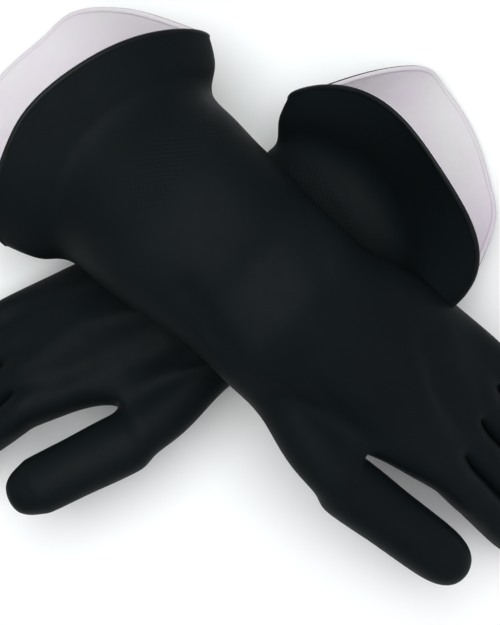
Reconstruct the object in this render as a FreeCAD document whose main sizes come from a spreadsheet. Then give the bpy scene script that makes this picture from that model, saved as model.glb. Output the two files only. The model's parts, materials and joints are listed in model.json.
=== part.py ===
"""A crossed pair of long rubber insulating gloves with a white inner layer and a belled, slanted cuff.

Each glove is a skin in two layers, cut where the rubber bends: gauntlet, hand, and a base and a tip for
the thumb and each finger. Every part after a bend starts with a truncated ball centred on the bend's axis,
and the part before it stops short of that axis, so that the two swing without touching.

Row frame, millimetres: origin on the floor where the two gloves cross, +Z up, the floor is z = 0.
Glove frame: +X from the cuff to the fingertips, +Y to the little finger of the left glove, +Z up.
"""
import FreeCAD, Part
import math
import os
import re

import Sketcher
from FreeCAD import Placement, Rotation, Vector

SIZES = (
    # layers
    ("outer_wall", 1.6, "black outer layer"),
    ("lining_wall", 0.7, "white inner layer"),
    ("layer_gap", 0.1, "play between the two layers"),
    ("bead_radius", 1.5, "rolled edge of the mouth"),
    ("bead_play", 0.2, "between the rolled edge and the rim"),
    ("ball_play", 1, "round the hand's ball inside the wrist"),
    ("bend_setback", 8, "how far a part stops before the next bend's axis"),
    # gauntlet
    ("mouth_reach", 48, "how much further the underside of the rim reaches than its top"),
    ("mouth_width", 148, "belled mouth"),
    ("mouth_height", 112, "belled mouth"),
    ("brim_length", 20, "length of the belled part"),
    ("sleeve_start", 42, "rim to the end of the bell's curve"),
    ("sleeve_width", 121, "tube behind the bell"),
    ("crossing_width", 106, "tube where the gloves cross"),
    ("wrist_width", 97, "narrowest part"),
    ("wrist_height", 61, "narrowest part"),
    # hand
    ("palm_width", 86, "across the four finger roots"),
    ("palm_height", 52, "thickest part of the hand"),
    ("knuckle_width", 92, "hand at the finger roots"),
    ("knuckle_height", 34, "hand at the finger roots"),
    ("knuckle_reach", 130, "wrist axis to the middle finger's knuckle"),
    ("knuckle_setback", 20, "how far the hand stops before the fingers' bends"),
    ("palm_offset", 20, "middle of the finger roots, from the wrist's middle to the little finger's side"),
    # fingers
    ("finger_pitch", 21.5, "from one finger to the next"),
    ("finger_width", 21, "at the root"),
    ("finger_height", 26, "at the root"),
    ("index_length", 79, "knuckle to tip"),
    ("middle_length", 87, "knuckle to tip"),
    ("ring_length", 81, "knuckle to tip"),
    ("little_length", 65, "knuckle to tip"),
    ("little_share", 0.9, "the little finger's thickness beside the others'"),
    ("knuckle_slope", 9, "degrees, the knuckles' line falls back towards the little finger"),
    # thumb
    ("thumb_width", 34, "at the root"),
    ("thumb_height", 34, "at the root"),
    ("thumb_length", 88, "its bend to its tip"),
    ("thumb_setback", 9.5, "how far a part stops before the thumb's bends"),
    ("thumb_start", 32, "wrist axis to where the thumb leaves the palm"),
    ("thumb_side", 33, "wrist's middle to where the thumb leaves the palm"),
    ("thumb_drop", 5, "thumb's axis below the palm's middle"),
    ("thumb_stub", 58, "from there to the thumb's bend"),
    ("thumb_spread", 19, "degrees, stub of the thumb away from the hand"),
    ("thumb_return", 22, "degrees, the thumb beyond its bend turns back towards the hand"),
    # how each glove lies
    ("left_heading", -41, "degrees, direction of the fingers"),
    ("left_gauntlet_length", 175, "top of the rim to the wrist axis"),
    ("left_crossing", 142, "rim to the crossing"),
    ("left_mouth_lift", 16, "underside of the rim above the floor"),
    ("left_sleeve_height", 98, "tube behind the bell"),
    ("left_sleeve_lift", 66, "height of the tube's middle"),
    ("left_slope_height", 80, "between the sleeve and the crossing"),
    ("left_slope_lift", 100, "height of the tube's middle"),
    ("left_crossing_height", 68, "tube where the gloves cross"),
    ("left_crossing_lift", 98, "height of the tube's middle"),
    ("left_wrist_lift", 100, "height of the wrist's axis"),
    ("left_pitch", 18, "degrees, the hand slopes down to the fingers"),
    ("left_roll", 18, "degrees, thumb side up at the fingers"),
    ("left_finger_pitch", 10, "degrees, the fingers slope down from the hand"),
    ("right_heading", -151, "degrees, direction of the fingers"),
    ("right_gauntlet_length", 140, "the same, pushed together under the other glove"),
    ("right_crossing", 115, "rim to the crossing"),
    ("right_mouth_lift", 4.8, "underside of the rim above the floor"),
    ("right_sleeve_height", 64, "tube behind the bell"),
    ("right_sleeve_lift", 31.5, "height of the tube's middle"),
    ("right_slope_height", 55, "between the sleeve and the crossing"),
    ("right_slope_lift", 27, "height of the tube's middle"),
    ("right_crossing_height", 55, "tube where the gloves cross"),
    ("right_crossing_lift", 27, "height of the tube's middle"),
    ("right_wrist_lift", 30, "height of the wrist's axis"),
    ("right_pitch", -6, "degrees, the hand rises to the fingers"),
    ("right_roll", 20, "degrees, thumb side up at the fingers"),
    ("right_finger_pitch", 20, "degrees, the fingers slope down from the hand"),
)

SIDES = {"left": 1, "right": -1}
FINGERS = ("index", "middle", "ring", "little")

# A ball's section at these shares of its radius before the bend's axis, and the share of its radius there.
BALL = ((-0.5, 0.866), (-0.25, 0.968), (0.0, 1.0))
DOME = ((0.0, 1.0), (0.4, 0.917), (0.7, 0.714), (0.9, 0.436), (0.97, 0.243))
# The bell behind the rim, at shares of the brim's length: shares of the widening left, of the mouth's height
# and of the rim's slant, and how far the middle has sunk.
BRIM = ((0.6, 0.39, 1.0, 0.8, 2), (1.3, 0.07, 0.92, 0.5, 5))
# The palm before the finger roots, at shares of the knuckles' reach: width, height, and shares of the palm's
# offset and of the hand's roll.
PALM = (
    (0.2, "wrist_width * 0.94", "palm_height * 0.98", 0.35, 0.4),
    (0.48, "palm_width", "palm_height", 0.9, 0.8),
    (0.75, "palm_width", "palm_height * 0.8", 1.0, 1.0),
)
CORNER_SHARE = 0.9         # of a section's half height is its corner radius
THUMB_TWIST = 0.7          # of the hand's roll has been reached at the thumb
BASE_SHARE = 0.46          # of a finger's length lies before its middle bend
END_TAPER = 0.94           # of the root's size at the middle bend
TIP_TAPER = 0.86           # of the root's size where the rounded tip starts
OVERSHOOT = 1.0            # how far a hollow is cut past an open end
SECTION_TO_FORWARD = Rotation(Vector(1, 1, 1), 120)     # ellipse's X, Y, Z to glove's Y, Z, X
FORWARD = Vector(1, 0, 0)
SIDEWAYS = Vector(0, 1, 0)
UP = Vector(0, 0, 1)

doc = FreeCAD.newDocument("insulating_gloves")
sheet = doc.addObject("Spreadsheet::Sheet", "Size")
for row, (alias, value, note) in enumerate(SIZES, start=1):
    sheet.set(f"A{row}", alias)
    sheet.set(f"B{row}", str(value))
    sheet.set(f"C{row}", note)
    sheet.setAlias(f"B{row}", alias)
doc.recompute()

ALIASES = {alias for alias, value, note in SIZES}
parts = {}


def size(alias):
    """A driving dimension as a number."""
    return float(sheet.get(alias))


def bound(text):
    """An expression over the sheet, from text that uses the aliases as plain words."""
    return re.sub(r"[a-z_]+", lambda m: "Size." + m[0] if m[0] in ALIASES else m[0], text)


def bind(thing, values):
    """Binds each named property of thing to an expression over the sheet."""
    for name, text in values.items():
        thing.setExpression(name, bound(text))


def keep(thing, label, placement):
    """Makes thing a sub-part: its own label, its own place, and its file's name."""
    thing.Label = label
    thing.Placement = placement
    parts[label] = thing
    return thing


def placed(x=0.0, y=0.0, z=0.0, pitch=0.0, roll=0.0, yaw=0.0):
    """A frame at x, y, z, rolled about its X axis, then pitched nose down, then yawed."""
    turn = Rotation(UP, yaw) * Rotation(SIDEWAYS, pitch) * Rotation(FORWARD, roll)
    return Placement(Vector(x, y, z), turn)


def origin_plane(body, role):
    """One of a body's own origin planes."""
    return next(f for f in body.Origin.OriginFeatures if f.Role == role)


def rounded_section(body, name, station, wall):
    """A rounded rectangle across the glove, inset by wall, on the body's own YZ plane moved to the station.

    station holds expressions: along, shift, lift, width, height; and angles: slant, turn, roll.
    """
    sketch = body.newObject("Sketcher::SketchObject", name)
    sketch.AttachmentSupport = (origin_plane(body, "YZ_Plane"), "")
    sketch.MapMode = "FlatFace"
    half_width, half_height, corner = 30.0, 20.0, 15.0
    flat_x, flat_y = half_width - corner, half_height - corner
    corners = ((flat_x, flat_y, 0), (-flat_x, flat_y, 1), (-flat_x, -flat_y, 2), (flat_x, -flat_y, 3))
    lines = (
        ((flat_x, half_height), (-flat_x, half_height)),
        ((-half_width, flat_y), (-half_width, -flat_y)),
        ((-flat_x, -half_height), (flat_x, -half_height)),
        ((half_width, -flat_y), (half_width, flat_y)),
    )
    for (x, y, quarter), (start, end) in zip(corners, lines):
        circle = Part.Circle(Vector(x, y, 0), UP, corner)
        sketch.addGeometry(Part.ArcOfCircle(circle, quarter * math.pi / 2, (quarter + 1) * math.pi / 2))
        sketch.addGeometry(Part.LineSegment(Vector(*start, 0), Vector(*end, 0)))
    for edge in range(8):
        sketch.addConstraint(Sketcher.Constraint("Tangent", edge, 2, (edge + 1) % 8, 1))
    for line, direction in ((1, "Horizontal"), (3, "Vertical"), (5, "Horizontal"), (7, "Vertical")):
        sketch.addConstraint(Sketcher.Constraint(direction, line))
    for arc in (2, 4, 6):
        sketch.addConstraint(Sketcher.Constraint("Equal", 0, arc))
    sketch.addConstraint(Sketcher.Constraint("Symmetric", 0, 3, 4, 3, -1, 1))
    sizes = (
        ("corner", Sketcher.Constraint("Radius", 0, corner)),
        ("across", Sketcher.Constraint("DistanceX", 2, 3, 0, 3, 2 * flat_x)),
        ("rise", Sketcher.Constraint("DistanceY", 6, 3, 0, 3, 2 * flat_y)),
    )
    for title, constraint in sizes:
        sketch.renameConstraint(sketch.addConstraint(constraint), title)
    width = f"({station['width']} - 2 * ({wall}))"
    height = f"({station['height']} - 2 * ({wall}))"
    radius = f"{CORNER_SHARE} * {height} / 2"
    turned = (Rotation(FORWARD, station["roll"]) * Rotation(UP, station["turn"])
              * Rotation(SIDEWAYS, station["slant"]))
    sketch.AttachmentOffset = Placement(Vector(), SECTION_TO_FORWARD.inverted() * turned * SECTION_TO_FORWARD)
    bind(sketch, {
        "Constraints.corner": radius,
        "Constraints.across": f"{width} - 2 * {radius}",
        "Constraints.rise": f"{height} - 2 * {radius}",
        "AttachmentOffset.Base.x": station["shift"],
        "AttachmentOffset.Base.y": station["lift"],
        "AttachmentOffset.Base.z": station["along"],
    })
    return sketch


def past_ends(stations):
    """The same stations with one more at each end, so that a hollow runs straight out of both open ends."""
    first, last = dict(stations[0]), dict(stations[-1])
    first["along"] += f" - {OVERSHOOT}"
    last["along"] += f" + {OVERSHOOT}"
    return [first] + stations + [last]


def add_loft(body, kind, path, wall):
    """Adds or takes away a loft through rounded sections, each inset by wall."""
    name = f"{body.Name}_{kind}"
    sketches = [rounded_section(body, f"{name}_{i}", place, wall) for i, place in enumerate(path)]
    doc.recompute()
    loft = body.newObject("PartDesign::" + kind, name)
    loft.Profile = sketches[0]
    loft.Sections = sketches[1:]
    loft.Ruled = True
    doc.recompute()


OUTSIDE, INSIDE = "0", "outer_wall"
LINING_OUTSIDE = "outer_wall + layer_gap"
LINING_INSIDE = "outer_wall + layer_gap + lining_wall"


def station(along, width, height, **rest):
    """A cross-section's place and size. slant leans its underside back, turn swings it, roll turns it."""
    upright = dict(shift="0", lift="0", slant=0.0, turn=0.0, roll=0.0)
    return dict(upright, along=along, width=width, height=height, **rest)


def gauntlet_stations(glove):
    """The belled, slanted mouth, the sleeve, the stretch where the gloves cross and the wrist."""
    slant = math.degrees(math.atan2(size("mouth_reach"), size("mouth_height")))
    middle = f"{glove}_mouth_lift + mouth_height / 2"
    long_way = 1 / math.cos(math.radians(slant))
    path = [station("-mouth_reach / 2", "mouth_width", f"mouth_height * {long_way:.4f}",
                    lift=middle, slant=slant)]
    for along, widening, height, lean, sunk in BRIM:
        path.append(station(f"brim_length * {along} - mouth_reach / 2",
                            f"sleeve_width + (mouth_width - sleeve_width) * {widening}",
                            f"mouth_height * {height}", lift=f"{middle} - {sunk}", slant=slant * lean))
    tube = (
        ("sleeve", "sleeve_start", "sleeve_width"),
        ("slope", f"(sleeve_start + {glove}_crossing) / 2", "(sleeve_width + crossing_width) / 2"),
        ("crossing", f"{glove}_crossing", "crossing_width"),
    )
    for place, along, width in tube:
        path.append(station(along, width, f"{glove}_{place}_height", lift=f"{glove}_{place}_lift"))
    path.append(station(f"{glove}_gauntlet_length - bend_setback", "wrist_width", "wrist_height",
                        lift=f"{glove}_wrist_lift"))
    return path


def press_flat(body):
    """Takes away everything below the floor, where a gauntlet's underside is pressed flat."""
    floor = body.newObject("Sketcher::SketchObject", body.Name + "_floor")
    floor.AttachmentSupport = (origin_plane(body, "XY_Plane"), "")
    floor.MapMode = "FlatFace"
    far = 2 * size("mouth_width")
    points = [Vector(x, y, 0) for x, y in ((-far, -far), (far, -far), (far, far), (-far, far))]
    for start, end in zip(points, points[1:] + points[:1]):
        floor.addGeometry(Part.LineSegment(start, end))
    for edge in range(len(points)):
        floor.addConstraint(Sketcher.Constraint("Coincident", edge, 2, (edge + 1) % len(points), 1))
        floor.addConstraint(Sketcher.Constraint("Block", edge))
    doc.recompute()
    cut = body.newObject("PartDesign::Pocket", body.Name + "_flat")
    cut.Profile = floor
    bind(cut, {"Length": "mouth_height"})
    doc.recompute()


def gauntlet(glove, name, outside, inside):
    """A gauntlet layer. The right one, which the pair stands on, is pressed flat against the floor."""
    body = doc.addObject("PartDesign::Body", name)
    path = gauntlet_stations(glove)
    add_loft(body, "AdditiveLoft", path, outside)
    add_loft(body, "SubtractiveLoft", past_ends(path), inside)
    if glove == "right":
        press_flat(body)
    return body


def cuff_bead(glove, name):
    """The rolled edge: a round wire swept round the rim, just clear of the gauntlet's end."""
    body = doc.addObject("PartDesign::Body", name)
    rim = gauntlet_stations(glove)[0]
    rim["along"] += " - bead_radius - bead_play"
    wall_middle = "(outer_wall + layer_gap + lining_wall) / 2"
    path = rounded_section(body, name + "_path", rim, wall_middle)
    wire = body.newObject("Sketcher::SketchObject", name + "_wire")
    wire.AttachmentSupport = (origin_plane(body, "XZ_Plane"), "")
    wire.MapMode = "FlatFace"
    wire.addGeometry(Part.Circle(Vector(), UP, size("bead_radius")))
    thickness = wire.addConstraint(Sketcher.Constraint("Radius", 0, size("bead_radius")))
    wire.renameConstraint(thickness, "thickness")
    wire.addConstraint(Sketcher.Constraint("Coincident", 0, 3, -1, 1))
    top = f"({rim['height']} / 2 - {wall_middle})"
    lean = math.radians(rim["slant"])
    bind(wire, {
        "Constraints.thickness": "bead_radius",
        "AttachmentOffset.Base.x": f"{rim['along']} + {top} * {math.sin(lean):.5f}",
        "AttachmentOffset.Base.y": f"{rim['lift']} + {top} * {math.cos(lean):.5f}",
    })
    doc.recompute()
    bead = body.newObject("PartDesign::AdditivePipe", name + "_roll")
    bead.Profile = wire
    bead.Spine = (path, [f"Edge{edge}" for edge in range(1, 9)])
    doc.recompute()
    return body


def hand_stations(glove):
    """The ball inside the wrist, the palm and the row of finger roots, twisting to the glove's roll."""
    room = "2 * (outer_wall + lining_wall + layer_gap + ball_play)"
    ball_width = f"(wrist_width - {room})"
    ball_height = f"(wrist_height - {room})"
    path = [station(f"{ball_height} / 2 * {place}", f"{ball_width} * {share}", f"{ball_height} * {share}")
            for place, share in BALL]
    palm = [(f"knuckle_reach * {share}", *rest, 0.0) for share, *rest in PALM]
    palm.append(("knuckle_reach - knuckle_setback", "knuckle_width", "knuckle_height", 1.0, 1.0,
                 -SIDES[glove] * size("knuckle_slope")))
    for along, width, height, out, twist, turn in palm:
        roll = -SIDES[glove] * size(f"{glove}_roll") * twist
        path.append(station(along, width, height, turn=turn, roll=roll,
                            shift=f"palm_offset * {SIDES[glove] * out * math.cos(math.radians(roll)):.4f}",
                            lift=f"palm_offset * {SIDES[glove] * out * math.sin(math.radians(roll)):.4f}"))
    return path


def thumb_tube(body, name, kind, glove, wall, extra):
    """A round bar from inside the palm to just short of the thumb's bend, added to or taken from the hand."""
    bar = body.newObject("PartDesign::" + kind, name)
    bar.Placement = thumb_stub(glove).multiply(Placement(Vector(), Rotation(SIDEWAYS, 90)))
    bind(bar, {"Radius": f"thumb_height / 2 - ({wall})", "Height": f"thumb_stub - thumb_setback + {extra}"})
    doc.recompute()


def hand(glove, name, outside, inside):
    """A hand layer with the thumb's stub, open at the wrist, at the finger roots and at the thumb's bend."""
    body = doc.addObject("PartDesign::Body", name)
    path = hand_stations(glove)
    add_loft(body, "AdditiveLoft", path, outside)
    thumb_tube(body, name + "_stub", "AdditiveCylinder", glove, outside, 0)
    add_loft(body, "SubtractiveLoft", past_ends(path), inside)
    thumb_tube(body, name + "_stub_hollow", "SubtractiveCylinder", glove, inside, OVERSHOOT)
    return body


def tube_loft(name, stations):
    """A solid through upright ellipses: each station is (along, half height, half width)."""
    rings = []
    for i, (along, half_height, half_width) in enumerate(stations):
        ring = doc.addObject("Part::Ellipse", f"{name}_{i}")
        ring.Placement = Placement(Vector(), Rotation(FORWARD, 90) * SECTION_TO_FORWARD)
        bind(ring, {"Placement.Base.x": along, "MajorRadius": half_height, "MinorRadius": half_width})
        rings.append(ring)
    loft = doc.addObject("Part::Loft", name)
    loft.Sections = rings
    loft.Solid = True
    loft.Ruled = True
    return loft


def finger_stations(height, width, length, wall, taper, closed):
    """A ball at the root, then a tube as far as length that ends open, or closed by a rounded tip."""
    half_height, half_width = f"({height} / 2 - ({wall}))", f"({width} / 2 - ({wall}))"
    path = [(f"{height} / 2 * {place}", f"{half_height} * {share}", f"{half_width} * {share}")
            for place, share in BALL]
    end_height = f"({height} / 2 * {taper} - ({wall}))"
    end_width = f"({width} / 2 * {taper} - ({wall}))"
    if not closed:
        return path + [(length, end_height, end_width)]
    centre = f"({length} - {height} / 2 * {taper})"
    return path + [(f"{centre} + {end_height} * {place}", f"{end_height} * {share}", f"{end_width} * {share}")
                   for place, share in DOME]


def out_of_ends(stations, closed):
    """The same stations with one more past each open end, so that a hollow runs straight out of it."""
    first, last = stations[0], stations[-1]
    longer = [(f"{first[0]} - {OVERSHOOT}",) + first[1:]] + stations
    if not closed:
        longer.append((f"{last[0]} + {OVERSHOOT}",) + last[1:])
    return longer


def finger_layer(name, sizes, closed, outside, inside):
    """One layer of a finger's base or tip, along +X from its own bend."""
    height, width, length, taper = sizes
    outer = tube_loft(name + "_outer", finger_stations(height, width, length, outside, taper, closed))
    bore = finger_stations(height, width, length, inside, taper, closed)
    hollow = tube_loft(name + "_hollow", out_of_ends(bore, closed))
    layer = doc.addObject("Part::Cut", name)
    layer.Base = outer
    layer.Tool = hollow
    return layer


def gauntlet_place(glove):
    """Where a glove's own frame lies: turned to its heading, with its crossing over the row's origin."""
    heading = math.radians(size(f"{glove}_heading"))
    back = size(f"{glove}_crossing")
    return placed(-back * math.cos(heading), -back * math.sin(heading), yaw=size(f"{glove}_heading"))


def hand_place(glove):
    """The hand's own frame, at the wrist's axis."""
    wrist = placed(size(f"{glove}_gauntlet_length"), 0, size(f"{glove}_wrist_lift"), size(f"{glove}_pitch"))
    return gauntlet_place(glove).multiply(wrist)


def thumb_stub(glove):
    """Where the thumb leaves the palm, within the hand's frame."""
    side = SIDES[glove]
    twist = placed(roll=-side * size(f"{glove}_roll") * THUMB_TWIST)
    flat = placed(size("thumb_start"), -side * size("thumb_side"), -size("thumb_drop"),
                  yaw=-side * size("thumb_spread"))
    return twist.multiply(flat)


def thumb_root(glove):
    """The thumb's frame at its bend, within the hand's."""
    return thumb_stub(glove).multiply(placed(size("thumb_stub"), yaw=SIDES[glove] * size("thumb_return")))


def finger_root(glove, finger):
    """A finger's frame within the hand's: a row that falls back to the little finger, all sloping down."""
    side = SIDES[glove]
    order = FINGERS.index(finger)
    across = size("palm_offset") + (order - 1.5) * size("finger_pitch")
    behind = (order - 1) * size("finger_pitch") * math.tan(math.radians(size("knuckle_slope")))
    twist = placed(roll=-side * size(f"{glove}_roll"))
    pitch = size(f"{glove}_finger_pitch")
    return twist.multiply(placed(size("knuckle_reach") - behind, side * across, 0, pitch))


def two_part_finger(glove, finger, root, height, width):
    """A finger's or thumb's base and tip, outer layer and lining."""
    setback = "thumb_setback" if finger == "thumb" else "bend_setback"
    reach = f"({finger}_length * {BASE_SHARE} - {setback})"
    rest = f"({finger}_length * {1 - BASE_SHARE})"
    second = placed(size(finger + "_length") * BASE_SHARE)
    end_height, end_width = f"({height} * {END_TAPER})", f"({width} * {END_TAPER})"
    pieces = (
        ("base", root, (height, width, reach, END_TAPER), False),
        ("tip", root.multiply(second), (end_height, end_width, rest, TIP_TAPER), True),
    )
    for piece, place, sizes, closed in pieces:
        label = f"{glove}_{finger}_{piece}"
        lining = label + "_lining"
        keep(finger_layer(label, sizes, closed, OUTSIDE, INSIDE), label, place)
        keep(finger_layer(lining, sizes, closed, LINING_OUTSIDE, LINING_INSIDE), lining, place)


def build_glove(glove):
    """All the parts of one glove."""
    cuff = gauntlet_place(glove)
    palm = hand_place(glove)
    for make, name, place in ((gauntlet, f"{glove}_gauntlet", cuff), (hand, f"{glove}_hand", palm)):
        keep(make(glove, name, OUTSIDE, INSIDE), name, place)
        keep(make(glove, name + "_lining", LINING_OUTSIDE, LINING_INSIDE), name + "_lining", place)
    keep(cuff_bead(glove, f"{glove}_cuff_bead"), f"{glove}_cuff_bead", cuff)
    for finger in FINGERS:
        slim = "little_share" if finger == "little" else "1"
        two_part_finger(glove, finger, palm.multiply(finger_root(glove, finger)),
                        f"(finger_height * {slim})", f"(finger_width * {slim})")
    two_part_finger(glove, "thumb", palm.multiply(thumb_root(glove)), "thumb_height", "thumb_width")


def write_parts():
    """Stops if anything failed, then writes each sub-part to its own file."""
    doc.recompute()
    failed = [thing.Name for thing in doc.Objects if {"Invalid", "Error"} & set(thing.State)]
    if failed:
        raise RuntimeError(f"these objects failed: {failed}")
    os.makedirs("parts", exist_ok=True)
    for label, thing in parts.items():
        shape = thing.Shape
        if shape.isNull() or not shape.isValid() or len(shape.Solids) != 1:
            raise RuntimeError(f"{label} isn't one valid solid")
        shape.exportStep(f"parts/{label}.step")
        print(label, round(shape.Volume), "mm3")


for glove in SIDES:
    build_glove(glove)
write_parts()
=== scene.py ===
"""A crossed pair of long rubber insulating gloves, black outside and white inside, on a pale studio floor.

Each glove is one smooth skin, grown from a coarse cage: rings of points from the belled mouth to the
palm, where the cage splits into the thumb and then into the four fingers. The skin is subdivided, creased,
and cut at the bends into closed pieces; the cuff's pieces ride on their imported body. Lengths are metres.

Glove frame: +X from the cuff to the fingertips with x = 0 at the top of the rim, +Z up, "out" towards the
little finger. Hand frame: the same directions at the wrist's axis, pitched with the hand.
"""

import json
import math

import bmesh
import bpy
import numpy as np
from mathutils import Matrix, Vector
from mathutils.bvhtree import BVHTree


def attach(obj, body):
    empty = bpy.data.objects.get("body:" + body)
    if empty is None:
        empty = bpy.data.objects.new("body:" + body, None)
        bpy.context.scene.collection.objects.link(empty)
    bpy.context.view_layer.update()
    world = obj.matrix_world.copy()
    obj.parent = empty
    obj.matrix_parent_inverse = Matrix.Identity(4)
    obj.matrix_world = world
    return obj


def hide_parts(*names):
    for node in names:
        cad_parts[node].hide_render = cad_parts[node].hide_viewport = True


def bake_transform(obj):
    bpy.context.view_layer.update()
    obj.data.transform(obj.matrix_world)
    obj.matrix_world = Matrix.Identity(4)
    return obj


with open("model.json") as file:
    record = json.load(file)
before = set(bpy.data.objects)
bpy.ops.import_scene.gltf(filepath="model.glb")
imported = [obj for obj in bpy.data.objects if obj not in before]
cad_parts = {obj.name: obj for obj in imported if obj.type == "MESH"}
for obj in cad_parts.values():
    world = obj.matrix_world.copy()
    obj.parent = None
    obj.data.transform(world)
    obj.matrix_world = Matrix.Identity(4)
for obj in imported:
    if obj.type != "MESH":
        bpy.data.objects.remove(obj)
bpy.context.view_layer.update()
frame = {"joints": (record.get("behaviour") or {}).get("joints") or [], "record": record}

MM = 0.001
SIDES = {"left": 1, "right": -1}
FINGERS = ("index", "middle", "ring", "little")
JOINTS = {joint["name"]: joint for joint in frame["joints"]}
MOUNTS = {mount["name"]: mount for mount in frame["record"]["mounts"]}

# ---------------------------------------------------------------- sizes, millimetres unless said otherwise
WALL = 1.6                  # black layer
GAP = 0.1                   # between the layers
LINING = 0.7                # white layer
BEAD = 1.7                  # radius of the rolled edge
MOUNT_SET_BACK = 24.0       # the mouth's mount lies this far beyond the top of the rim
AROUND = 24                 # cage points round the cuff
SMOOTHING = 3               # subdivision steps
BASE_SHARE = 0.46           # of a finger's length lies before its middle bend
WRIST_BEND = 30.0           # the skin bends from this far before the wrist's axis to this far after it
ROOT_BEND = (4.0, 20.0)     # the same at a finger's root, where the webs reach beyond the knuckle's axis
THUMB_BEND = (-4.0, 16.0)   # the same at the thumb's
MIDDLE_BEND = 9.0           # the same to both sides of a finger's middle bend

# The mouth. Along the top, the rim runs back from its middle in a straight part (line) and a curl at
# the sides (ends), and is skewed; the underside's lip reaches further out and is narrower. Then half
# width, half height, the middle's place towards the little finger, and its height.
MOUTH = {
    "left": dict(top=-2.5, line=23.0, ends=17.0, top_skew=0.0, under=-51.0, under_skew=0.0, narrow=0.11,
                 half_width=82.5, half_height=56.0, middle=2.5, lift=72.0),
    "right": dict(top=2.6, line=0.0, ends=46.0, top_skew=-11.0, under=-47.0, under_skew=14.0, narrow=0.04,
                  half_width=75.5, half_height=56.0, middle=3.0, lift=61.0),
}
LINE_MIDDLE = -0.18         # the straight parts meet this far to the thumb's side of the top
UNDER_DEPTH = 0.6           # how soon the rim reaches its furthest along the underside
# Where the bell's curve ends on the tube: its top, sides and underside; and the tube there: half width,
# half height and the height of its middle.
NECK = {
    "left": (dict(top=34.0, sides=58.0, under=4.0), (60.5, 49.5, 66.0)),
    "right": (dict(top=26.0, sides=62.5, under=4.0), (61.0, 32.5, 32.0)),
}
BELL_STEPS = (0.0, 0.25, 0.5, 0.78, 1.0)
BELL_CURVE = dict(top=0.95, sides=0.42)

# The tube from the bell to the wrist: along, half width, half height, height of its middle.
TUBE = {
    "left": ((76, 58.5, 42, 88), (98, 56.5, 39.5, 97), (120, 54.5, 37.5, 98), (134, 52.5, 36, 97.5)),
    "right": ((67, 60.5, 29, 28.4), (80, 57, 27.6, 27.2), (96, 54, 27.4, 27)),
}

# The hand, in the hand's frame. Palm: along, middle towards the little finger, half width, half height.
PALM = {
    "left": ((-30, 0, 51.5, 30.5), (0, -1.5, 51.5, 29.5), (12, 0.5, 52.5, 28.5), (34, 7.5, 51.5, 27.5),
             (62, 14.5, 50.5, 26), (103, 19.5, 48.5, 20.5), (124, 22, 46, 17)),
    "right": ((-30, 0, 51, 30.5), (0, 0, 49, 29.5), (12, 0.5, 49.5, 28.5), (34, 5, 48.5, 27.5),
              (62, 16, 43.5, 26), (103, 21.5, 41, 20.5), (124, 23.5, 39, 17)),
}
# The thumb's root inside the palm's skin: along, its middle, and how far the skin follows it.
THUMB_ROOT = ((0, -31, 0.0), (14, -38, 0.45), (34, -43, 0.9), (50, -47.5, 1.0), (80, -52, 1.0))
THUMB_RADIUS = 17.5
THUMB_LIFT = -4.0
THUMB_OUT = {"left": 2.0, "right": -1.5}     # the thumb lies this much further from the palm
THUMB_LONGER = {"left": 7.0, "right": -12.0}  # stretched straight, or pushed back by the floor
HAND_RINGS = (-14, 0, 14, 28, 42, 55, 67)
THUMB_SPLIT = 77.0
PALM_RINGS = (93, 109)
KNUCKLE_SLOPE = 9.0         # degrees
ROLL_STEPS = ((0, 0.0), (26, 0.4), (62, 0.8), (97, 1.0))
CROTCH_FORWARD = 4.0        # middle of the thumb's web beyond its edges
WEB_FORWARD = 6.0           # middle of a finger's web beyond its edges
# Fingers, from the index: how far each is pushed towards the little finger along its own joint's axis; half
# width; half height. The lower glove's fingers are pressed together.
FINGER_SHIFT = {"left": (0, 1, 2, 3), "right": (6, 4, 2, 0)}
FINGER_SIZE = {"left": (11.2, 13.0), "right": (9.8, 13.0)}
FINGER_POWER = 3.0          # 2 is an ellipse, more is squarer
LITTLE_SHARE = 0.92
THUMB_SIZE = (19.0, 17.4)
THUMB_POWER = 2.2
COARSE_RING = 1.07          # a ring of eight cage points stands this much outside the smooth skin
COARSE_TUBE = 1.012         # and a ring of twenty-four this much


# ---------------------------------------------------------------- small helpers
def between(table, x):
    """The rest of a table's row at x, its first column, in straight lines from row to row."""
    if x <= table[0][0]:
        return table[0][1:]
    for low, high in zip(table, table[1:]):
        if x <= high[0]:
            t = (x - low[0]) / (high[0] - low[0])
            return tuple(a + (b - a) * t for a, b in zip(low[1:], high[1:]))
    return table[-1][1:]


def frame_matrix(origin, forward, sideways):
    """A frame from its origin, its X and roughly its Y."""
    x = forward.normalized()
    z = x.cross(sideways).normalized()
    y = z.cross(x)
    return Matrix((
        (x.x, y.x, z.x, origin.x), (x.y, y.y, z.y, origin.y), (x.z, y.z, z.z, origin.z), (0, 0, 0, 1),
    ))


def joint_place(name):
    """A joint's point and axis at rest."""
    return Vector(JOINTS[name]["pos_m"]), Vector(JOINTS[name]["axis"])


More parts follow.
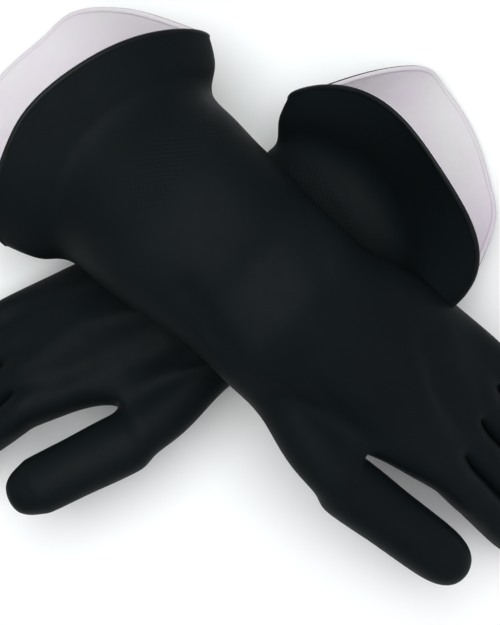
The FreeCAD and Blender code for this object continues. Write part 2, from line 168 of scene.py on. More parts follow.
class Glove:
    """One glove's frames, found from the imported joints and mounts."""

    def __init__(self, name):
        self.name = name
        self.side = SIDES[name]
        wrist, across = joint_place(f"{name}_wrist")
        mouth = Vector(MOUNTS[f"{name}_mouth"]["pos_m"])
        forward = Vector((wrist.x - mouth.x, wrist.y - mouth.y, 0)).normalized()
        self.gauntlet = Vector((wrist.x - mouth.x, wrist.y - mouth.y)).length / MM - MOUNT_SET_BACK
        rim = Vector((wrist.x, wrist.y, 0)) - forward * self.gauntlet * MM
        self.cuff = frame_matrix(rim, forward, across)
        axis = joint_place(f"{name}_middle_root")[1]
        along = across.cross(axis).normalized()
        if along.dot(forward) < 0:
            along = -along
        self.hand = frame_matrix(wrist, along, across)
        self.roll = across.angle(axis)

    def digit(self, finger, joint):
        """A finger's frame at its root or middle bend."""
        root, axis = joint_place(f"{self.name}_{finger}_root")
        middle, _ = joint_place(f"{self.name}_{finger}_middle")
        return frame_matrix(root if joint == "root" else middle, middle - root, axis)

    def base_length(self, finger):
        """A finger's root to its middle bend, millimetres."""
        root, _ = joint_place(f"{self.name}_{finger}_root")
        middle, _ = joint_place(f"{self.name}_{finger}_middle")
        return (middle - root).length / MM

    def at(self, place, x, out, z):
        """A point in one of the glove's frames, from millimetres."""
        return place @ Vector((x * MM, self.side * out * MM, z * MM))


def rounded(angle, half_width, half_height, power):
    """A point of a rounded section that is between an ellipse and a rectangle."""
    c, s = math.cos(angle), math.sin(angle)
    return (math.copysign(abs(c) ** (2 / power), c) * half_width,
            math.copysign(abs(s) ** (2 / power), s) * half_height)


# ---------------------------------------------------------------- the cage
class Cage:
    """Points and four-sided faces, each face marked with the piece it belongs to."""

    def __init__(self):
        self.points = []
        self.faces = []
        self.marks = []

    def add(self, points):
        first = len(self.points)
        self.points.extend(points)
        return list(range(first, first + len(points)))

    def bridge(self, a, b, mark):
        for i in range(len(a)):
            j = (i + 1) % len(a)
            self.faces.append((a[i], a[j], b[j], b[i]))
            self.marks.append(mark)

    def cap(self, ring, centre, mark):
        for i in range(0, len(ring), 2):
            self.faces.append((ring[i], ring[i + 1], ring[(i + 2) % len(ring)], centre))
            self.marks.append(mark)


def around(index):
    """The angle of a cage point: 0 at the little finger's side, a half turn at the thumb's."""
    return math.pi - 2 * math.pi * index / AROUND


def neck_reach(shape, angle):
    """How far along the bell's curve ends, from its top, sides and underside."""
    c, s = math.cos(angle), math.sin(angle)
    ends = shape["top"] if s > 0 else shape["under"]
    return shape["sides"] * c * c + ends * s * s


def rim_point(glove, angle):
    """A point of the rim, with the slow waves of a soft edge. Its underside reaches further."""
    mouth = MOUTH[glove.name]
    c, s = math.cos(angle), math.sin(angle)
    if s > 0:
        x = mouth["top"] + mouth["line"] * abs(c - LINE_MIDDLE) + mouth["ends"] * (1 - s) ** 1.4
        skew = mouth["top_skew"] * (0.6 + 0.4 * s)
        narrow = 1.0
    else:
        sides = mouth["top"] + mouth["line"] * (1 - LINE_MIDDLE * c) + mouth["ends"]
        x = sides + (mouth["under"] - sides) * abs(s) ** UNDER_DEPTH
        start = mouth["top_skew"] * 0.6
        skew = start + (mouth["under_skew"] - start) * min(1.0, -1.5 * s)
        narrow = 1 - mouth["narrow"] * min(1.0, -3 * s)
    y, z = rounded(angle, mouth["half_width"], mouth["half_height"], 2.0 if s > 0 else 2.6)
    wave = 1 + 0.014 * math.sin(3 * angle + glove.side) + 0.010 * math.sin(5 * angle + 1.3)
    ripple = 1.5 * math.sin(4 * angle + 0.6) + (2.5 * math.sin(9 * angle + glove.side) if s < -0.3 else 0.0)
    return x + ripple - skew * c, mouth["middle"] + y * wave * narrow, mouth["lift"] + z * wave


def cuff_rings(glove):
    """The belled mouth and the tube, as rings of points."""
    shape, (half_width, half_height, lift) = NECK[glove.name]
    rings = []
    for step in reversed(BELL_STEPS):
        ring = []
        for i in range(AROUND):
            angle = around(i)
            y, z = rounded(angle, half_width * COARSE_TUBE, half_height * COARSE_TUBE, 2.2)
            neck = (neck_reach(shape, angle), y, lift + z)
            rim = rim_point(glove, angle)
            sideways = math.cos(angle) ** 2
            flare = step ** (BELL_CURVE["top"] + (BELL_CURVE["sides"] - BELL_CURVE["top"]) * sideways)
            ring.append(glove.at(glove.cuff,
                                 neck[0] + (rim[0] - neck[0]) * step,
                                 neck[1] + (rim[1] - neck[1]) * flare,
                                 neck[2] + (rim[2] - neck[2]) * flare))
        rings.append(ring)
    for x, half_width, half_height, lift in TUBE[glove.name]:
        ring = []
        for i in range(AROUND):
            y, z = rounded(around(i), half_width * COARSE_TUBE, half_height * COARSE_TUBE, 2.25)
            ring.append(glove.at(glove.cuff, x, y, lift + z))
        rings.append(ring)
    return rings


def twisted(glove, x, y, z):
    """A point of the hand, turned by the share of the hand's roll that is reached there."""
    roll = -glove.roll * between(ROLL_STEPS, x)[0]
    c, s = math.cos(roll), math.sin(roll)
    return glove.at(glove.hand, x, y * c - z * s, y * s + z * c)


PALM_TOP = tuple(math.radians(a) for a in (157, 140, 122, 106, 90, 74, 57, 38, 18))
THUMB_TOP = tuple(math.radians(a) for a in (135, 88, 38))


def palm_point(glove, x, angle):
    """A point of the palm's own section, in the hand's frame."""
    middle, half_width, half_height = between(PALM[glove.name], x)
    y, z = rounded(angle, half_width * COARSE_TUBE, half_height * COARSE_TUBE, 2.3)
    return middle + y, z


def hand_ring(glove, x):
    """A ring before the thumb's split: the palm's section with the thumb's root growing out of its side."""
    thumb_middle, follow = between(THUMB_ROOT, x)
    thumb_middle -= THUMB_OUT[glove.name]
    ring = []
    for i in range(AROUND):
        plain = palm_point(glove, x, around(i))
        top = i if i <= 12 else AROUND - i
        sign = 1 if i <= 12 else -1
        if top < 3:
            angle = THUMB_TOP[top - 1] if top else math.pi
            target = (thumb_middle + THUMB_RADIUS * math.cos(angle),
                      THUMB_LIFT + sign * THUMB_RADIUS * math.sin(angle))
        elif top == 3:
            y, z = palm_point(glove, x, PALM_TOP[0])
            angle = THUMB_TOP[2]
            target = ((y + thumb_middle + THUMB_RADIUS * math.cos(angle)) / 2,
                      sign * (z + THUMB_RADIUS * math.sin(angle)) / 2)
        elif top < 12:
            y, z = palm_point(glove, x, PALM_TOP[top - 3])
            target = (y, sign * z)
        else:
            target = plain
        ring.append(twisted(glove, x, plain[0] + (target[0] - plain[0]) * follow,
                            plain[1] + (target[1] - plain[1]) * follow))
    return ring


def palm_ring(glove, x, slope, fingers):
    """A ring of twenty points beyond the thumb's split; fingers is how far their row shows in it."""
    middle, half_width, half_height = between(PALM[glove.name], x)
    ring = []
    for i in range(20):
        top = i if i <= 10 else 20 - i
        sign = 1 if i <= 10 else -1
        if top == 0:
            y, z = palm_point(glove, x, math.pi)
        elif top == 10:
            y, z = palm_point(glove, x, 0.0)
        else:
            y, z = palm_point(glove, x, PALM_TOP[top - 1])
            even = middle + half_width * 0.96 * (top - 5) / 4
            y += (even - y) * fingers
            lobe = half_height * (1.04 if top % 2 == 0 else 0.74)
            z += (lobe - z) * fingers
        back = (y - middle) * math.tan(math.radians(KNUCKLE_SLOPE)) * slope
        ring.append(twisted(glove, x - back, y, sign * z))
    return ring


def digit_ring(glove, place, x, shift, half_width, half_height, power):
    """Eight points round a finger or thumb, starting at its thumb-side top corner."""
    ring = []
    wide, high = half_width * COARSE_RING, half_height * COARSE_RING
    for turn in range(8):
        y, z = rounded(math.radians(135 - 45 * turn), wide, high, power)
        ring.append(glove.at(place, x, shift + y, z))
    return ring


def grow_digit(cage, glove, finger, start, marks, bend, size, shift, power, longer=0.0):
    """A thumb or finger from its first ring of cage points to its rounded tip."""
    hand_mark, base_mark, tip_mark = marks
    root, middle = glove.digit(finger, "root"), glove.digit(finger, "middle")
    base = glove.base_length(finger)
    rest = base * (1 - BASE_SHARE) / BASE_SHARE + longer
    half_width, half_height = size
    stops = [
        (root, bend[0], 1.0, hand_mark),
        (root, (bend[0] + bend[1]) / 2, 1.0, base_mark),
        (root, bend[1], 0.99, base_mark),
        (root, (bend[1] + base - MIDDLE_BEND) / 2, 0.97, base_mark),
        (middle, -MIDDLE_BEND, 0.95, base_mark),
        (middle, 0.0, 0.945, tip_mark),
        (middle, MIDDLE_BEND, 0.94, tip_mark),
        (middle, rest * 0.48, 0.93, tip_mark),
        (middle, rest - half_height * 0.95, 0.88, tip_mark),
        (middle, rest - half_height * 0.42, 0.72, tip_mark),
        (middle, rest - half_height * 0.10, 0.42, tip_mark),
    ]
    ring = start
    for place, x, share, mark in stops:
        fresh = cage.add(digit_ring(glove, place, x, shift, half_width * share, half_height * share, power))
        cage.bridge(ring, fresh, mark)
        ring = fresh
    centre = cage.add([glove.at(middle, rest, shift, 0)])[0]
    cage.cap(ring, centre, tip_mark)


def build_cage(glove):
    """The whole glove's cage. Marks: 0 cuff, 1 hand, then a base and a tip for each digit."""
    cage = Cage()
    rings = cuff_rings(glove)
    rings.append([boundary_point(glove, i) for i in range(AROUND)])
    last = cage.add(rings[0])
    cage.rim = last
    for ring in rings[1:]:
        fresh = cage.add(ring)
        cage.bridge(last, fresh, 0)
        last = fresh
    for x in HAND_RINGS:
        fresh = cage.add(hand_ring(glove, x))
        cage.bridge(last, fresh, 1)
        last = fresh
    split = cage.add(hand_ring(glove, THUMB_SPLIT))
    cage.bridge(last, split, 1)
    top, under = split[1:12], split[:12:-1]
    palm_side = palm_point(glove, THUMB_SPLIT, math.pi)[0]
    between_them = (palm_side + thumb_side(glove)) / 2
    crotch = cage.add([twisted(glove, THUMB_SPLIT + CROTCH_FORWARD, between_them, -1.0)])[0]
    thumb_loop = [top[0], top[1], top[2], crotch, under[2], under[1], under[0], split[0]]
    grow_digit(cage, glove, "thumb", thumb_loop, (1, 10, 11), THUMB_BEND, THUMB_SIZE,
               -THUMB_OUT[glove.name], THUMB_POWER, THUMB_LONGER[glove.name])
    last = [crotch] + top[2:] + [split[12]] + under[:1:-1]
    for x, fingers in zip(PALM_RINGS, (0.25, 0.6)):
        fresh = cage.add(palm_ring(glove, x, (x - THUMB_SPLIT) / 40, fingers))
        cage.bridge(last, fresh, 1)
        last = fresh
    web_x = PALM[glove.name][-1][0]
    web = cage.add(palm_ring(glove, web_x, 1.0, 1.0))
    cage.bridge(last, web, 1)
    top, under = web[1:10], web[:10:-1]
    middle, half_width, _ = between(PALM[glove.name], web_x)
    webs = []
    for k in range(3):
        y = middle + half_width * 0.96 * (2 * k - 2) / 4
        back = (y - middle) * math.tan(math.radians(KNUCKLE_SLOPE))
        webs.append(twisted(glove, web_x + WEB_FORWARD - back, y, 0))
    sides = [web[0]] + cage.add(webs) + [web[10]]
    for k, finger in enumerate(FINGERS):
        loop = [top[2 * k], top[2 * k + 1], top[2 * k + 2], sides[k + 1],
                under[2 * k + 2], under[2 * k + 1], under[2 * k], sides[k]]
        share = LITTLE_SHARE if finger == "little" else 1.0
        size = [extent * share for extent in FINGER_SIZE[glove.name]]
        grow_digit(cage, glove, finger, loop, (1, 2 + 2 * k, 3 + 2 * k), ROOT_BEND, size,
                   FINGER_SHIFT[glove.name][k], FINGER_POWER)
    return cage


def thumb_side(glove):
    """The thumb's side that faces the palm, where the two part."""
    return between(THUMB_ROOT, THUMB_SPLIT)[0] - THUMB_OUT[glove.name] + THUMB_RADIUS


def boundary_point(glove, index):
    """A point of the flat ring where the cuff's piece ends and the bending skin of the wrist begins."""
    _, half_width, half_height = between(PALM[glove.name], -WRIST_BEND)
    y, z = rounded(around(index), half_width * COARSE_TUBE, half_height * COARSE_TUBE, 2.2)
    lift = glove.hand.translation.z / MM
    return glove.at(glove.cuff, glove.gauntlet - WRIST_BEND, y, lift + z)


# ---------------------------------------------------------------- from cage to skin
def smooth_skin(cage, name):
    """The cage subdivided: points, faces and each face's mark."""
    mesh = bpy.data.meshes.new(name)
    mesh.from_pydata(cage.points, [], cage.faces)
    for i in range(12):
        mesh.materials.append(bpy.data.materials.new(f"mark_{i}"))
    mesh.polygons.foreach_set("material_index", cage.marks)
    shaper = bmesh.new()
    shaper.from_mesh(mesh)
    bmesh.ops.recalc_face_normals(shaper, faces=shaper.faces)
    shaper.to_mesh(mesh)
    shaper.free()
    thing = bpy.data.objects.new(name, mesh)
    bpy.context.scene.collection.objects.link(thing)
    subdivision = thing.modifiers.new("smooth", "SUBSURF")
    subdivision.levels = SMOOTHING
    subdivision.render_levels = SMOOTHING
    subdivision.boundary_smooth = "PRESERVE_CORNERS"
    smooth = bpy.data.meshes.new_from_object(thing.evaluated_get(bpy.context.evaluated_depsgraph_get()))
    bpy.data.objects.remove(thing)
    return smooth


def mesh_arrays(mesh):
    """A mesh's points, quads and marks as arrays."""
    points = np.zeros(len(mesh.vertices) * 3)
    mesh.vertices.foreach_get("co", points)
    corners = np.zeros(len(mesh.loops), int)
    mesh.loops.foreach_get("vertex_index", corners)
    marks = np.zeros(len(mesh.polygons), int)
    mesh.polygons.foreach_get("material_index", marks)
    return points.reshape(-1, 3), corners.reshape(-1, 4), marks


def point_normals(points, quads):
    """Outward normals at the points, from the faces that meet there."""
    across = np.cross(points[quads[:, 2]] - points[quads[:, 0]], points[quads[:, 3]] - points[quads[:, 1]])
    normals = np.zeros_like(points)
    for corner in range(4):
        np.add.at(normals, quads[:, corner], across)
    return normals / np.maximum(np.linalg.norm(normals, axis=1), 1e-12)[:, None]


def local_points(glove, points):
    """Points in the glove's frame, millimetres: along, towards the little finger, up."""
    inverse = np.array(glove.cuff.inverted())
    local = (points @ inverse[:3, :3].T + inverse[:3, 3]) / MM
    local[:, 1] *= glove.side
    return local


def distance_to_path(x, y, path):
    """Distance in plan from each point to a path of straight stretches, and how far along it is."""
    best = np.full(len(x), 1e9)
    share = np.zeros(len(x))
    for i, ((x0, y0), (x1, y1)) in enumerate(zip(path, path[1:])):
        dx, dy = x1 - x0, y1 - y0
        t = np.clip(((x - x0) * dx + (y - y0) * dy) / (dx * dx + dy * dy), 0, 1)
        d = np.hypot(x - x0 - t * dx, y - y0 - t * dy)
        nearer = d < best
        best[nearer] = d[nearer]
        share[nearer] = ((i + t) / (len(path) - 1))[nearer]
    return best, share


# Soft creases and ridges on the back of each glove: depth (a ridge is negative), width, and the path
# in plan from the wrist's axis.
CREASES = {
    "left": (
        (4.0, 9, ((21, -22), (47, -27), (75, -30))),
        (3.0, 7, ((-50, -30), (-25, -38), (1, -46))),
        (1.3, 9, ((-25, 40), (1, 24), (21, 14))),
        (-1.2, 9, ((1, -8), (30, 6), (65, 22))),
        (6.0, 8.5, ((66, 33), (84, 27), (104, 18), (128, 10))),
        (-1.6, 7, ((77, 36), (93, 30))),
        (1.6, 5, ((95, 40), (109, 36), (121, 31))),
    ),
    "right": (
        (3.6, 9, ((21, -22), (47, -27), (75, -30))),
        (1.4, 7, ((-25, 38), (-5, 20), (7, -6))),
        (-3.0, 8, ((11, 4), (39, 12), (75, 22), (115, 22))),
        (3.0, 9, ((30, -6), (60, 0), (95, 2), (118, -4))),
        (1.8, 6, ((39, 34), (61, 38), (87, 42), (110, 44))),
    ),
}


def crease(glove, points, quads):
    """Presses the soft creases into the back of the glove, and gives the cuff its slow dents."""
    normals = point_normals(points, quads)
    local = local_points(glove, points)
    facing = np.clip(normals[:, 2], 0, 1) ** 0.5
    depth = np.zeros(len(points))
    for amount, width, path in CREASES[glove.name]:
        d, share = distance_to_path(local[:, 0] - glove.gauntlet, local[:, 1], path)
        fade = 0.35 + 0.65 * np.sin(np.pi * np.clip(share, 0.06, 0.94))
        depth += amount * np.exp(-(d / width) ** 2) * fade
    x, y, z = local.T
    phase = 1.7 if glove.side > 0 else 0.4
    dents = (np.sin(x / 13 + y / 37 + phase) * np.cos(y / 19 - x / 61 + phase)
             + 0.6 * np.sin(x / 7.5 - y / 23 + 2 * phase) * np.cos(z / 17))
    x = x - glove.gauntlet
    cuff = np.clip((x + 145) / 40, 0, 1) * np.clip((40 - x) / 60, 0, 1)
    depth = depth * facing + 0.45 * dents * cuff
    return points - normals * depth[:, None] * MM


def rest_on_floor(points):
    """Nothing goes below the floor."""
    points[:, 2] = np.maximum(points[:, 2], 0.5 * MM)
    return points


# ---------------------------------------------------------------- pieces
def edge_loops(quads):
    """Directed edges that belong to one face only."""
    edges = np.concatenate([quads[:, [i, (i + 1) % 4]] for i in range(4)])
    size = int(edges.max()) + 1
    forward = edges[:, 0] * size + edges[:, 1]
    backward = edges[:, 1] * size + edges[:, 0]
    return edges[~np.isin(forward, backward)]


def shell_piece(name, points, normals, quads, outside, inside):
    """A closed shell between two offsets of part of the skin."""
    used, compact = np.unique(quads, return_inverse=True)
    compact = compact.reshape(quads.shape)
    outer = points[used] - normals[used] * outside * MM
    inner = points[used] - normals[used] * inside * MM
    count = len(used)
    ends = edge_loops(compact)
    sides = np.column_stack([ends[:, 1], ends[:, 0], ends[:, 0] + count, ends[:, 1] + count])
    faces = np.concatenate([compact, compact[:, ::-1] + count, sides])
    return make_mesh(name, np.concatenate([outer, inner]), faces,
                     np.concatenate([normals[used], -normals[used]]))


def make_mesh(name, points, quads, normals=None):
    """A smooth-shaded object from arrays."""
    mesh = bpy.data.meshes.new(name)
    mesh.from_pydata(points.tolist(), [], quads.tolist())
    mesh.polygons.foreach_set("use_smooth", [True] * len(mesh.polygons))
    mesh.update()
    if normals is not None:
        mesh.normals_split_custom_set_from_vertices(normals.tolist())
    thing = bpy.data.objects.new(name, mesh)
    bpy.context.scene.collection.objects.link(thing)
    return thing


def bead_piece(glove, name, points, quads):
    """The rolled edge: a round bar along the open rim, its outer half black, its inner half white."""
    ends = edge_loops(quads)
    following = dict(ends.tolist())
    start = int(ends[0, 0])
    order = [start]
    while following[order[-1]] != start:
        order.append(following[order[-1]])
    normals = point_normals(points, quads)
    rim = points[order]
    outward = normals[order]
    ahead = np.roll(rim, -1, axis=0) - np.roll(rim, 1, axis=0)
    ahead /= np.linalg.norm(ahead, axis=1)[:, None]
    out_of_mouth = np.cross(ahead, outward)
    out_of_mouth /= np.linalg.norm(out_of_mouth, axis=1)[:, None]
    stepped = local_points(glove, rim + out_of_mouth * MM)[:, 0].mean()
    if stepped > local_points(glove, rim)[:, 0].mean():
        out_of_mouth = -out_of_mouth
    centre = rim - outward * (WALL + GAP + LINING) / 2 * MM + out_of_mouth * BEAD * 0.55 * MM
    steps = 12
    turns = [2 * math.pi * k / steps for k in range(steps)]
    bar = np.concatenate([centre + (outward * math.cos(t) + out_of_mouth * math.sin(t)) * BEAD * MM
                          for t in turns])
    count = len(rim)
    faces = []
    for k in range(steps):
        for i in range(count):
            j = (i + 1) % count
            m = (k + 1) % steps
            faces.append((k * count + i, k * count + j, m * count + j, m * count + i))
    thing = make_mesh(name, bar, np.array(faces))
    thing["inner_faces"] = [k for k in range(steps) if 3 <= k < 9]
    thing["rim_points"] = count
    return thing


# The band of diamonds: where it starts, how wide it is, its middle towards the little finger, and
# half its length.
BAND = {"left": (62, 20, 16, 36), "right": (50, 18, 14, 32)}
DIAMOND_PITCH = 3.3         # from one diamond to the next
DIAMOND_REACH = 1.3         # from a diamond's middle to its side corners
DIAMOND_HEIGHT = 0.32       # above the rubber
DIAMOND_ROOT = 0.12         # below the rubber's surface, so that each diamond is part of it
DIAMOND_TOP = 0.3           # a diamond's flat top, as a share of its base
BAND_BOW = 3.0              # the band's ends lie this much further towards the fingers than its middle


def diamond(hit, normal, ahead, height):
    """One raised diamond's points: four at its base, four at its flat top."""
    side = normal.cross(ahead)
    corners = [ahead * a + side * b for a, b in ((1.25, 0), (0, 1), (-1.25, 0), (0, -1))]
    base = hit - normal * DIAMOND_ROOT * MM
    low = [base + corner * DIAMOND_REACH * MM for corner in corners]
    high = [base + corner * DIAMOND_REACH * DIAMOND_TOP * MM + normal * height * MM for corner in corners]
    return low + high


def diamond_band(glove, points, quads):
    """A band of small raised diamonds across the back of the forearm, to add to the cuff."""
    tree = BVHTree.FromPolygons([Vector(p) for p in points], quads.tolist())
    pitch = DIAMOND_PITCH
    band_start, band_width, middle, half_length = BAND[glove.name]
    new_points, new_faces = [], []
    rows = int(band_width / (pitch / 2))
    columns = int(2 * half_length / pitch)
    down = Vector((0, 0, -1))
    for row in range(rows + 1):
        for column in range(columns + 1):
            x = band_start + row * pitch / 2
            out = middle - half_length + (column + 0.5 * (row % 2)) * pitch
            share = (out - middle) / half_length
            edge = abs(x - band_start - band_width / 2) / (band_width / 2)
            if share * share + (edge * 0.75) ** 2 > 1:
                continue
            x += BAND_BOW * share * share
            hit, normal, _, _ = tree.ray_cast(glove.at(glove.cuff, x, out, 300), down)
            if hit is None or normal.z < 0.25:
                continue
            ahead = glove.cuff.to_3x3() @ Vector((1, 0, 0))
            ahead = (ahead - normal * ahead.dot(normal)).normalized()
            first = len(new_points)
            fade = 0.6 + 0.4 * math.sqrt(max(0.0, 1 - share * share))
            new_points.extend(diamond(hit, normal, ahead, DIAMOND_HEIGHT * fade))
            for k in range(4):
                m = (k + 1) % 4
                new_faces.append((first + k, first + m, first + 4 + m, first + 4 + k))
            new_faces.append((first + 4, first + 5, first + 6, first + 7))
            new_faces.append((first + 3, first + 2, first + 1, first))
    return new_points, new_faces


# ---------------------------------------------------------------- materials
def nodes_of(name):
    """A new material, its node tree and its shader."""
    material = bpy.data.materials.new(name)
    material.use_nodes = True
    tree = material.node_tree
    shader = tree.nodes["Principled BSDF"]
    return material, tree, shader


def noise(tree, place, scale, detail=4.0, roughness=0.55):
    """Noise over the object's own coordinates."""
    node = tree.nodes.new("ShaderNodeTexNoise")
    node.inputs["Scale"].default_value = scale
    node.inputs["Detail"].default_value = detail
    node.inputs["Roughness"].default_value = roughness
    tree.links.new(place.outputs["Object"], node.inputs["Vector"])
    return node


def remap(tree, source, low, high, to_low, to_high):
    """Carries a value from one range to another."""
    node = tree.nodes.new("ShaderNodeMapRange")
    for key, value in (("From Min", low), ("From Max", high), ("To Min", to_low), ("To Max", to_high)):
        node.inputs[key].default_value = value
    tree.links.new(source, node.inputs["Value"])
    return node.outputs["Result"]


def colour_mix(tree, factor, first, second):
    """A mix of two colours by a factor."""
    node = tree.nodes.new("ShaderNodeMix")
    node.data_type = "RGBA"
    tree.links.new(factor, node.inputs["Factor"])
    node.inputs["A"].default_value = (*first, 1)
    node.inputs["B"].default_value = (*second, 1)
    return node.outputs["Result"]


def bumps(tree, layers, shader):
    """Stacks bump layers: (height socket, strength, distance)."""
    last = None
    for height, strength, distance in layers:
        node = tree.nodes.new("ShaderNodeBump")
        node.inputs["Strength"].default_value = strength
        node.inputs["Distance"].default_value = distance
        tree.links.new(height, node.inputs["Height"])
        if last:
            tree.links.new(last.outputs["Normal"], node.inputs["Normal"])
        last = node
    tree.links.new(last.outputs["Normal"], shader.inputs["Normal"])


def rubber():
    """Matt black dipped rubber with a faint green-blue tint, a fine grain, and rubbed, dusty patches."""
    material, tree, shader = nodes_of("black_rubber")
    place = tree.nodes.new("ShaderNodeTexCoord")
    cloud = noise(tree, place, 14, 5)
    rub = noise(tree, place, 60, 6, 0.7)
    grain = noise(tree, place, 1400, 3)
    pores = noise(tree, place, 420, 4, 0.65)
    tone = remap(tree, cloud.outputs["Fac"], 0.3, 0.7, 0.0, 1.0)
    tree.links.new(colour_mix(tree, tone, (0.0040, 0.0060, 0.0068), (0.0056, 0.0080, 0.0090)),
                   shader.inputs["Base Color"])
    tree.links.new(remap(tree, rub.outputs["Fac"], 0.35, 0.7, 0.48, 0.60), shader.inputs["Roughness"])
    shader.inputs["Specular IOR Level"].default_value = 0.042
    shader.inputs["Sheen Weight"].default_value = 0.002
    shader.inputs["Sheen Roughness"].default_value = 0.5
    shader.inputs["Sheen Tint"].default_value = (0.75, 0.9, 1.0, 1)
    bumps(tree, ((pores.outputs["Fac"], 0.10, 0.0006), (grain.outputs["Fac"], 0.10, 0.0002),
                 (cloud.outputs["Fac"], 0.25, 0.003)), shader)
    return material


def bead_rubber():
    """The rolled edge, a little shinier than the rest; its base is a lighter grey, a painted highlight
    along the rim, varied at random between two greys.
    """
    material, tree, shader = nodes_of("bead_rubber")
    place = tree.nodes.new("ShaderNodeTexCoord")
    highlight_and_wear = noise(tree, place, 90, 5, 0.7)
    grain = noise(tree, place, 1000, 2)
    # painted highlight: the bead's base colour is lighter grey than the rest of the rubber, mixed at random
    # between two greys
    tree.links.new(colour_mix(tree, remap(tree, highlight_and_wear.outputs["Fac"], 0.35, 0.7, 0.0, 1.0),
                              (0.005, 0.006, 0.007), (0.009, 0.011, 0.012)), shader.inputs["Base Color"])
    tree.links.new(remap(tree, highlight_and_wear.outputs["Fac"], 0.3, 0.7, 0.34, 0.5), shader.inputs["Roughness"])
    shader.inputs["Specular IOR Level"].default_value = 0.12
    bumps(tree, ((grain.outputs["Fac"], 0.15, 0.0003),), shader)
    return material


def white_lining():
    """Smooth off-white inner rubber, with a lilac cast in patches and fine talc-like mottling."""
    material, tree, shader = nodes_of("white_lining")
    place = tree.nodes.new("ShaderNodeTexCoord")
    cloud = noise(tree, place, 22, 4)
    mottle = noise(tree, place, 260, 5, 0.7)
    grain = noise(tree, place, 1500, 2)
    tree.links.new(colour_mix(tree, remap(tree, cloud.outputs["Fac"], 0.35, 0.65, 0.0, 1.0),
                              (0.62, 0.60, 0.605), (0.63, 0.565, 0.635)), shader.inputs["Base Color"])
    tree.links.new(remap(tree, mottle.outputs["Fac"], 0.35, 0.65, 0.5, 0.68), shader.inputs["Roughness"])
    shader.inputs["Subsurface Weight"].default_value = 0.08
    shader.inputs["Subsurface Radius"].default_value = (0.004, 0.003, 0.003)
    shader.inputs["Subsurface Scale"].default_value = 0.5
    bumps(tree, ((mottle.outputs["Fac"], 0.08, 0.0005), (grain.outputs["Fac"], 0.08, 0.0002),
                 (cloud.outputs["Fac"], 0.35, 0.004)), shader)
    return material


RUBBER, BEAD_RUBBER, WHITE = rubber(), bead_rubber(), white_lining()


# ---------------------------------------------------------------- putting a glove together
def bend_piece(piece, glove, body):
    """Attaches a cuff's piece to its body; any other piece only has its transform baked into its points."""
    name = glove.name
    if body == f"{name}_gauntlet":
        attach(piece, body)
        return
    if body == f"{name}_hand":
        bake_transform(piece)
        return
    finger, part = body[len(name) + 1:].rsplit("_", 1)
    if part == "base":
        place = glove.digit(finger, "root")
    else:
        place = glove.digit(finger, "middle")
    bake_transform(piece)


def finish_piece(piece, glove, body, node, material):
    """Gives a piece its material, attaches it to its body if it is a cuff's piece, and hides the CAD node
    it stands for.
    """
    if not piece.data.materials:
        piece.data.materials.append(material)
    bend_piece(piece, glove, body)
    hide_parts(node)


def build_glove(name):
    """Every piece of one glove."""
    glove = Glove(name)
    cage = build_cage(glove)
    points, quads, marks = mesh_arrays(smooth_skin(cage, name + "_skin"))
    points = rest_on_floor(crease(glove, points, quads))
    normals = point_normals(points, quads)
    bodies = [f"{name}_gauntlet", f"{name}_hand"]
    bodies += [f"{name}_{finger}_{part}" for finger in FINGERS + ("thumb",) for part in ("base", "tip")]
    for mark, body in enumerate(bodies):
        mine = quads[marks == mark]
        outer = shell_piece(body + "_rubber", points, normals, mine, 0.0, WALL)
        if mark == 0:
            outer = add_band(outer, glove, points, mine)
        finish_piece(outer, glove, body, body, RUBBER)
        inner = shell_piece(body + "_white", points, normals, mine, WALL + GAP, WALL + GAP + LINING)
        finish_piece(inner, glove, body, body + "_lining", WHITE)
    bead = bead_piece(glove, f"{name}_rolled_edge", points, quads)
    bead.data.materials.append(BEAD_RUBBER)
    bead.data.materials.append(WHITE)
    per_step = bead["rim_points"]
    white_steps = set(bead["inner_faces"])
    colours = [1 if i // per_step in white_steps else 0 for i in range(len(bead.data.polygons))]
    bead.data.polygons.foreach_set("material_index", colours)
    finish_piece(bead, glove, f"{name}_gauntlet", f"{name}_cuff_bead", BEAD_RUBBER)


def add_band(cuff, glove, points, quads):
    """Joins the band of diamonds to the cuff's outer piece."""
    new_points, new_faces = diamond_band(glove, points, quads)
    mesh = bpy.data.meshes.new("band")
    mesh.from_pydata(new_points, [], new_faces)
    band = bpy.data.objects.new("band", mesh)
    bpy.context.scene.collection.objects.link(band)
    with bpy.context.temp_override(active_object=cuff, selected_editable_objects=[cuff, band]):
        bpy.ops.object.join()
    return cuff


for glove_name in SIDES:
    build_glove(glove_name)


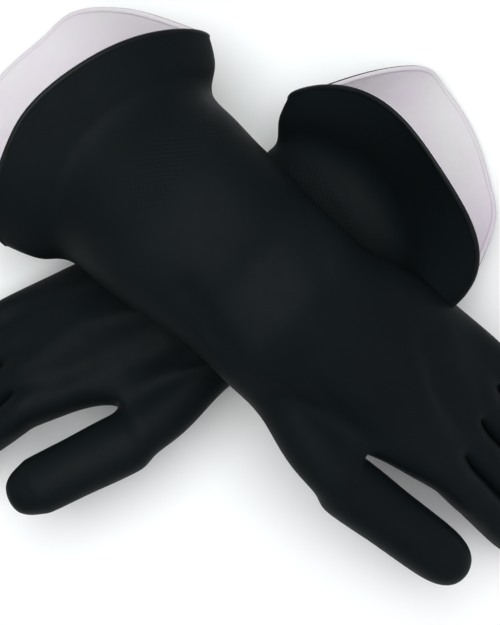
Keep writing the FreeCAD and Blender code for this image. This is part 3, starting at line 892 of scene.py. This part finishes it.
# ---------------------------------------------------------------- floor, light and camera
def floor():
    """A plain pale floor."""
    mesh = bpy.data.meshes.new("floor")
    reach = 6.0
    mesh.from_pydata([(-reach, -reach, 0), (reach, -reach, 0), (reach, reach, 0), (-reach, reach, 0)], [],
                     [(0, 1, 2, 3)])
    thing = bpy.data.objects.new("floor", mesh)
    bpy.context.scene.collection.objects.link(thing)
    material, _, shader = nodes_of("pale_floor")
    shader.inputs["Base Color"].default_value = (0.93, 0.93, 0.93, 1)
    shader.inputs["Roughness"].default_value = 0.9
    shader.inputs["Specular IOR Level"].default_value = 0.1
    mesh.materials.append(material)


def area_light(name, place, target, size, power, colour):
    """A soft square lamp."""
    lamp = bpy.data.lights.new(name, "AREA")
    lamp.color = colour
    lamp.size = size
    lamp.energy = power
    thing = bpy.data.objects.new(name, lamp)
    thing.location = place
    thing.rotation_euler = (Vector(target) - Vector(place)).to_track_quat("-Z", "Y").to_euler()
    bpy.context.scene.collection.objects.link(thing)


HORIZON_LIGHT = 0.15         # strength of the sky at the horizon
OVERHEAD_LIGHT = 0.35        # and overhead


def studio():
    """Light mostly from above: a sky that darkens to the horizon, a large lamp, a weak violet one."""
    world = bpy.data.worlds.new("studio")
    world.use_nodes = True
    tree = world.node_tree
    place = tree.nodes.new("ShaderNodeTexCoord")
    split = tree.nodes.new("ShaderNodeSeparateXYZ")
    tree.links.new(place.outputs["Generated"], split.inputs["Vector"])
    strength = remap(tree, split.outputs["Z"], 0.0, 1.0, HORIZON_LIGHT, OVERHEAD_LIGHT)
    tree.links.new(strength, tree.nodes["Background"].inputs["Strength"])
    tree.nodes["Background"].inputs["Color"].default_value = (1, 1, 1, 1)
    bpy.context.scene.world = world
    area_light("key", (-0.15, 0.2, 1.6), (0, 0, 0), 1.6, 31, (0.97, 1.0, 1.0))
    area_light("fill", (1.3, -0.7, 1.0), (0, 0, 0), 1.2, 3, (0.90, 0.80, 1.0))


CAMERA = dict(lens=69.3, place=(0, -21.5, 750), target=(0, -21.4, 0))


def camera():
    """Straight above the crossing, close enough for the lower glove to look a little smaller."""
    lens = bpy.data.cameras.new("camera")
    lens.sensor_fit = "AUTO"
    lens.sensor_width = 36.0
    lens.lens = CAMERA["lens"]
    thing = bpy.data.objects.new("camera", lens)
    thing.location = Vector(CAMERA["place"]) * MM
    ahead = Vector(CAMERA["target"]) * MM - thing.location
    thing.rotation_euler = ahead.to_track_quat("-Z", "Y").to_euler()
    bpy.context.scene.collection.objects.link(thing)
    bpy.context.scene.camera = thing


floor()
studio()
camera()
bpy.context.scene.view_settings.view_transform = "Standard"
